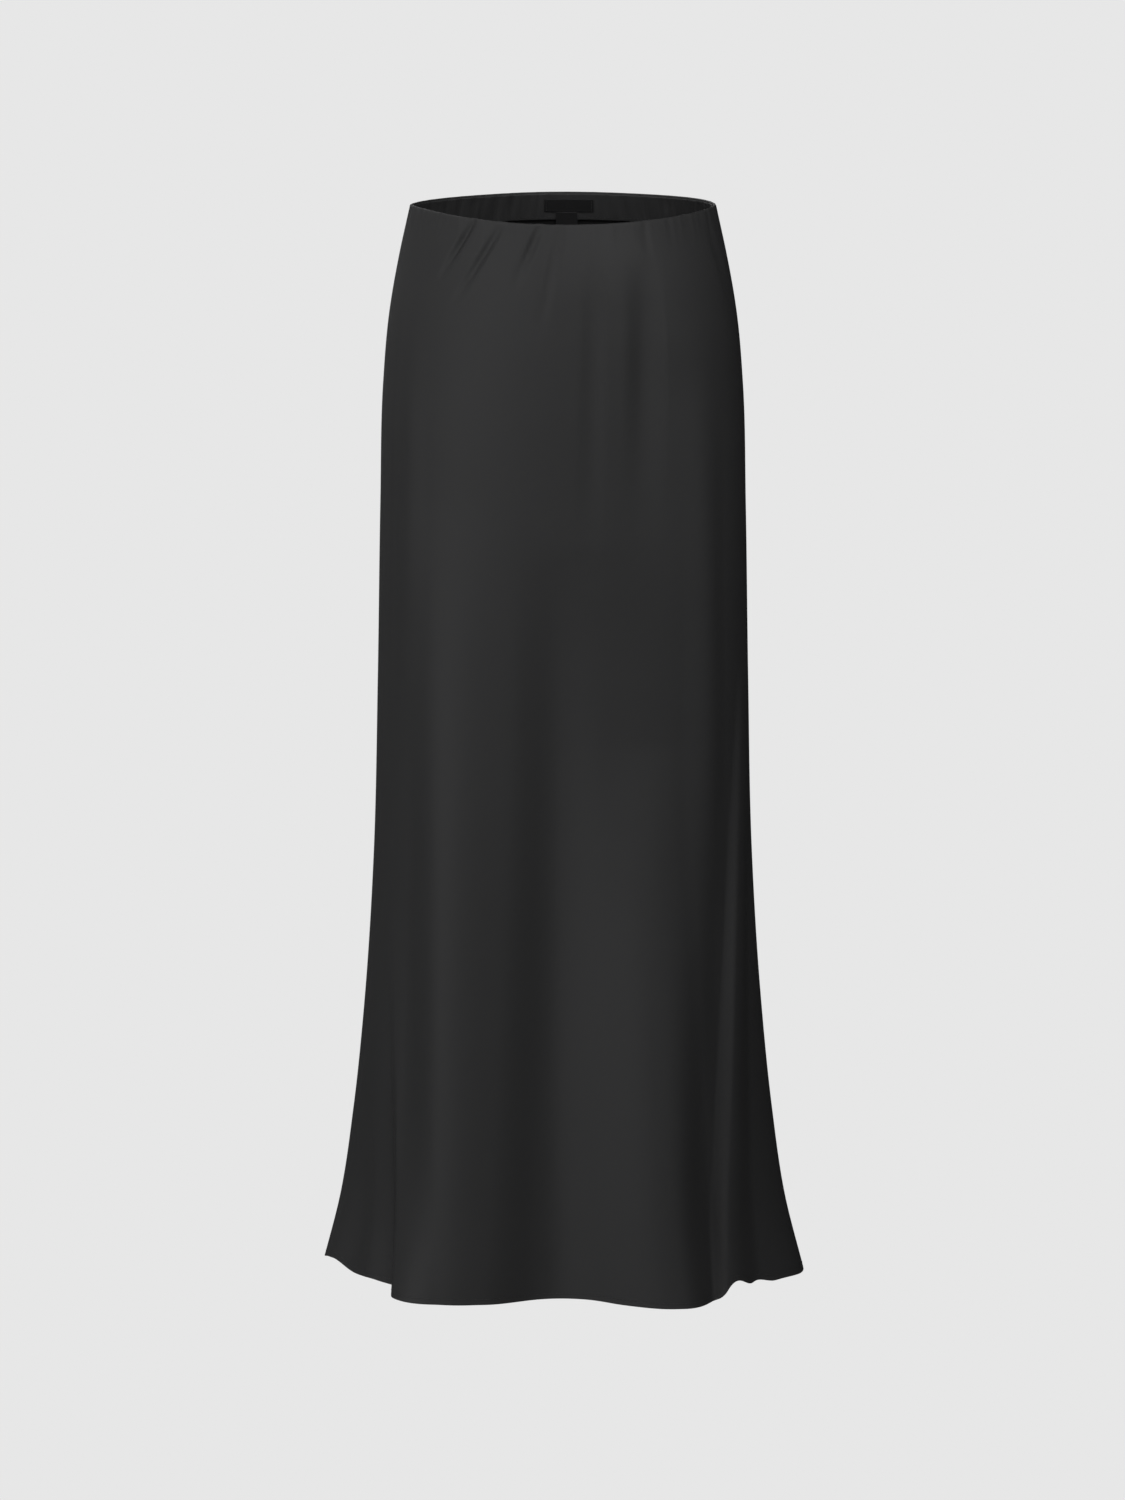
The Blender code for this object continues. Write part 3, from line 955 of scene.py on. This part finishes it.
@dataclass
class WaistCasing:
    """The channel of the elastic: a turned-in band that the elastic draws into small gathers."""

    form: SkirtForm
    top: float = 0.0012
    depth: float = 0.0240
    inset: float = 0.00215
    thickness: float = 0.00045
    columns: int = 900
    rows: int = 22
    gather_depth: float = 0.00034
    least_gather: float = 0.35
    gather_power: float = 0.7
    edge_reach: float = 0.0016
    stitch_drop: float = 0.0215
    stitch_length: float = 0.0022
    stitch_pitch: float = 0.0029
    thread: float = 0.00032
    thread_rise: float = 0.4
    oval_factor: float = 1.74
    flat_width: float = 0.84

    def place(self, angle: Array, drop: Array, inwards: float) -> Array:
        """Gives points on the band, whose gathers flatten at the upper edge and at the stitching.

        Args:
            angle: Angles round the band.
            drop: Depths below the waist.
            inwards: How far they lie inwards of the band's face against the panels.

        Returns:
            The points, with a last axis of three.
        """
        slack = np.clip((drop - self.top) / (self.stitch_drop - self.top), 0, 1)
        swell = self.least_gather + (1 - self.least_gather) * np.sin(pi * slack) ** self.gather_power
        gathers = self.gather_depth * ripple(np.radians(angle), GATHERS) * swell
        inset = self.inset + inwards + np.clip(gathers, -self.gather_depth, None)
        return self.form.point(angle, drop / self.form.length, inset)

    def build(self) -> None:
        """Builds the band and its stitching."""
        angles = np.linspace(0, FULL_TURN, self.columns + 1)
        drops = np.linspace(self.top, self.depth, self.rows)
        angle, drop = np.meshgrid(angles, drops)
        sides = [self.place(angle, drop, inwards) for inwards in (0.0, self.thickness)]
        cloth = np.stack([np.radians(angle) * self.flat_width / (2 * pi), -drop], -1)
        edge = np.exp(-(((self.depth - drop) / self.edge_reach) ** 2))
        piece = add_wall("casing_band", *sides, cloth, edge, closed=True)
        settle(piece, (CASING_IN_PAINTED_SHADE,), "casing", "waist_casing")
        self.stitch()

    def stitch(self) -> None:
        """Sews the row of stitches that closes the channel, on its inner face."""
        half_width = self.form.section_value(np.zeros(1), "half_width")[0]
        count = round(half_width * self.oval_factor * pi / self.stitch_pitch)
        middle = np.arange(count) * FULL_TURN / count
        half = FULL_TURN / count * self.stitch_length / self.stitch_pitch / 2
        drop = np.full(count, self.stitch_drop)
        ends = [self.place(middle + side * half, drop, self.thickness) for side in (-1, 1)]
        inward = -self.form.normal(middle, drop / self.form.length)
        rise = self.thread * self.thread_rise
        piece = add_stitches("casing_stitches", *ends, inward, self.thread, rise)
        settle(piece, (THREAD,), "casing")


@dataclass
class SideSeam:
    """The allowances of one side seam, pressed together towards the back inside the skirt."""

    form: SkirtForm
    name: str
    angle: float
    top: float = 0.0230
    foot: float = 0.9125
    width: float = 0.0095
    flat_width: float = 0.010
    inset: float = 0.00052
    thickness: float = 0.00055
    columns: int = 12
    rows: int = 260
    overlap: float = 0.0012
    ripple_height: float = 0.00012
    ripple_rate: float = 310.0
    edge_power: int = 6

    def build(self) -> None:
        """Builds the strip, whose width in degrees follows the skirt's own width."""
        drops = np.linspace(self.top, self.foot, self.rows)
        across = np.linspace(-self.overlap, self.width - self.overlap, self.columns + 1)
        backwards = 1 if self.angle > 0 else -1
        across, drop = np.meshgrid(np.sort(across * backwards), drops)
        reach = across / self.form.section_value(drop, "back_depth")
        pinch = self.form.section_value(drop, "right_pinch" if self.angle > 0 else "left_pinch")
        turn = reach / self.form.squeeze(reach, pinch)
        turn = reach / self.form.squeeze(turn, pinch)
        angle = self.angle + np.degrees(turn)
        share = drop / self.form.length
        free = np.abs(across) / self.width
        inset = self.inset + self.ripple_height * np.sin(self.ripple_rate * drop) * free
        sides = [self.form.point(angle, share, inset + deeper) for deeper in (0.0, self.thickness)]
        piece = add_wall(self.name, *sides, np.stack([across, -drop], -1), free**self.edge_power)
        settle(piece, (REVERSE_IN_PAINTED_SHADE,), "satin")


@dataclass
class NarrowHem:
    """The stitching of the narrow hem, all round the skirt, on its face and inside it."""

    form: SkirtForm
    above_edge: float = 0.0050
    stitch_length: float = 0.0021
    stitch_pitch: float = 0.0028
    thread: float = 0.00028
    thread_rise: float = 0.35
    inner_inset: float = 0.0019
    round_it: float = 1.30

    def build(self) -> None:
        """Sews both rows."""
        count = round(self.round_it / self.stitch_pitch)
        step = FULL_TURN / count
        middle = np.arange(count) * step
        share = np.full(count, 1 - self.above_edge / self.form.length)
        half = step * self.stitch_length / self.stitch_pitch / 2
        normal = self.form.normal(middle, share)
        rows = (("hem_stitches", 0.0, normal), ("hem_inner_stitches", self.inner_inset, -normal))
        for name, inset, outward in rows:
            ends = [self.form.point(middle + side * half, share, inset) for side in (-1, 1)]
            piece = add_stitches(name, *ends, outward, self.thread, self.thread * self.thread_rise)
            settle(piece, (THREAD,), "satin")


@dataclass
class WovenLabel:
    """A bare woven label inside the back, which may be sewn down at its ends."""

    form: SkirtForm
    name: str
    node: str
    middle_x: float
    top_drop: float
    width: float
    height: float
    sewn_ends: bool
    inset: float = 0.0031
    thickness: float = 0.00035
    border: float = 0.0008
    border_rise: float = 0.00012
    bow: float = 0.00025
    curl: float = 0.0
    columns: int = 48
    rows: int = 24
    stitch_pitch: float = 0.0026
    stitch_inset: float = 0.0016
    half_stitch: float = 0.0010
    thread: float = 0.00030
    thread_rise: float = 0.00012

    def angles(self, x: Array) -> Array:
        """Gives the angles round the skirt at distances across the label from its middle."""
        radius = self.form.section_value(np.zeros(1), "half_width")[0]
        return BACK - np.degrees((self.middle_x + x) / radius)

    def place(self, x: Array, down: Array, inwards: float) -> Array:
        """Gives points on the label, which bows across its width and curls towards its foot.

        Args:
            x: Distances across it from its middle.
            down: Distances down it.
            inwards: How far they lie inwards of its back face.

        Returns:
            The points, with a last axis of three.
        """
        bowed = self.bow * np.cos(pi * x / self.width) + self.curl * (down / self.height) ** 2
        share = (self.top_drop + down) / self.form.length
        return self.form.point(self.angles(x), share, self.inset + bowed + inwards)

    def build(self) -> None:
        """Builds the label with its thicker woven edge."""
        across = np.linspace(0.5, -0.5, self.columns + 1) * self.width
        x, down = np.meshgrid(across, np.linspace(0, self.height, self.rows + 1))
        to_edge = np.minimum(self.width / 2 - np.abs(x), np.minimum(down, self.height - down))
        raised = self.border_rise * np.clip(1 - to_edge / self.border, 0, 1)
        sides = [self.place(x, down, 0.0), self.place(x, down, self.thickness + raised)]
        cloth = np.stack([x, -down], -1)
        piece = add_wall(self.name, *sides, cloth, np.exp(-((to_edge / self.border) ** 2)))
        settle(piece, (TAPE,), "label", self.node)
        if self.sewn_ends:
            self.stitch()

    def stitch(self) -> None:
        """Sews the label down along both ends."""
        down = np.arange(self.stitch_inset, self.height - self.half_stitch, self.stitch_pitch)
        x = np.repeat([-1.0, 1.0], len(down)) * (self.width / 2 - self.stitch_inset)
        down = np.tile(down, 2)
        ends = [self.place(x, down + side * self.half_stitch, self.thickness) for side in (-1, 1)]
        inward = -self.form.normal(self.angles(x), (self.top_drop + down) / self.form.length)
        piece = add_stitches(self.name + "_stitches", *ends, inward, self.thread, self.thread_rise)
        settle(piece, (THREAD,), "label")


class Softbox(NamedTuple):
    """One soft light: its place round the skirt, its height in degrees, and its power."""

    name: str
    azimuth: float
    elevation: float
    power: float


@dataclass
class Studio:
    """The camera, the soft lights, and a pale floor that rises far away all round."""

    aim: float = -0.4643
    aim_x: float = -0.0004
    distance: float = 4.2
    elevation: float = 12.0
    lens: float = 118.39
    sensor: float = 36.0
    floor_drop: float = 1.03
    floor_half: float = 26.0
    floor_squares: int = 104
    floor_radius: float = 7.0
    rim_radius: float = 9.0
    backdrop: float = 0.799
    softbox_distance: float = 3.6
    softbox_size: float = 2.2
    softboxes: tuple[Softbox, ...] = (
        Softbox("key", -60, 35, 37),
        Softbox("key_low", -40, 0, 39),
        Softbox("left_rim", -120, 35, 13),
        Softbox("left_rim_low", -120, 0, 4),
        Softbox("front_top", 20, 35, 71),
        Softbox("right_top", 90, 35, 13),
        Softbox("floor_left", -60, -35, 10.5),
        Softbox("floor_right", 60, -35, 8.5),
        Softbox("rear_left", -160, 30, 34),
    )

    def build(self) -> None:
        """Sets up the whole stage."""
        self.place_camera()
        self.hang_lights()
        self.darken_room()
        self.lay_floor()

    def place_camera(self) -> None:
        """Sets the camera, a long lens that looks a little down on the skirt."""
        data = bpy.data.cameras.new("camera")
        data.sensor_fit = "VERTICAL"
        data.sensor_height = self.sensor
        data.lens = self.lens
        camera = bpy.data.objects.new("camera", data)
        bpy.context.scene.collection.objects.link(camera)
        tilt = radians(self.elevation)
        camera.location = (self.aim_x, -self.distance * cos(tilt), self.aim + self.distance * sin(tilt))
        camera.rotation_euler = (pi / 2 - tilt, 0.0, 0.0)
        bpy.context.scene.camera = camera

    def hang_lights(self) -> None:
        """Hangs the softboxes round the skirt, each turned towards its middle."""
        aim = Vector((0.0, 0.0, self.aim))
        for box in self.softboxes:
            data = bpy.data.lights.new(box.name, "AREA")
            data.shape = "SQUARE"
            data.size = self.softbox_size
            data.energy = box.power
            light = bpy.data.objects.new(box.name, data)
            bpy.context.scene.collection.objects.link(light)
            turn, tilt = radians(box.azimuth), radians(box.elevation)
            away = Vector((sin(turn) * cos(tilt), -cos(turn) * cos(tilt), sin(tilt)))
            light.location = aim + away * self.softbox_distance
            light.rotation_euler = away.to_track_quat("Z", "Y").to_euler()
            light.visible_camera = False

    def darken_room(self) -> None:
        """Takes out the room's own light, so that only the softboxes light the skirt."""
        world = bpy.data.worlds.new("room")
        world.use_nodes = True
        world.node_tree.nodes["Background"].inputs["Strength"].default_value = 0.0
        bpy.context.scene.world = world
        bpy.context.scene.view_settings.view_transform = "Standard"

    def lay_floor(self) -> None:
        """Lays the floor: level under the skirt, and rising all round like the rim of a bowl.

        Its height is 0 up to the floor's radius, and from there the square of the distance beyond
        it, over twice the rim's radius.
        """
        across = np.linspace(-self.floor_half, self.floor_half, self.floor_squares + 1)
        x, y = np.meshgrid(across, -across)
        beyond = np.clip(np.hypot(x, y) - self.floor_radius, 0, None)
        points = np.stack([x, y, beyond**2 / (2 * self.rim_radius) - self.floor_drop], -1)
        index = np.arange(x.size).reshape(x.shape)
        floor = add_mesh("studio_floor", points.reshape(-1, 3), quads_between(index))
        floor.data.materials.append(self.paper())
        for ray in ("visible_diffuse", "visible_glossy", "visible_shadow", "visible_transmission"):
            setattr(floor, ray, False)

    def paper(self) -> bpy.types.Material:
        """Makes the floor's pale paper, which glows evenly.

        Returns:
            The material.
        """
        made = bpy.data.materials.new("pale_paper")
        made.use_nodes = True
        nodes = NodeTree(made.node_tree)
        glow = nodes.add("Emission", {"Color": (1.0, 1.0, 1.0, 1.0), "Strength": self.backdrop})
        nodes.fill(made.node_tree.nodes["Material Output"], {"Surface": glow.outputs[0]})
        return made


def main() -> None:
    """Builds the studio and dresses the skirt."""
    logging.basicConfig(level=logging.INFO, format="%(name)s: %(message)s")
    form = SkirtForm()
    for make_group in (weave_group, tone_group, rub_and_highlight_group):
        make_group()
    Studio().build()
    SatinPanel(form, "front_satin", "front_panel", middle=0.0, flat=(0.64, 0.94), area=0.46).build()
    SatinPanel(form, "back_satin", "back_panel", middle=BACK, flat=(0.66, 0.94), area=0.47).build()
    WaistCasing(form).build()
    SideSeam(form, "left_seam", -SIDE).build()
    SideSeam(form, "right_seam", SIDE).build()
    NarrowHem(form).build()
    WovenLabel(
        form, "main_label", "label_main", middle_x=0.005, top_drop=0.006,
        width=0.042, height=0.0105, sewn_ends=True,
    ).build()
    WovenLabel(
        form, "size_label", "label_size", middle_x=0.003, top_drop=0.0168,
        width=0.018, height=0.024, sewn_ends=False, inset=0.0030, curl=0.0012,
    ).build()


if __name__ == "__main__":
    main()
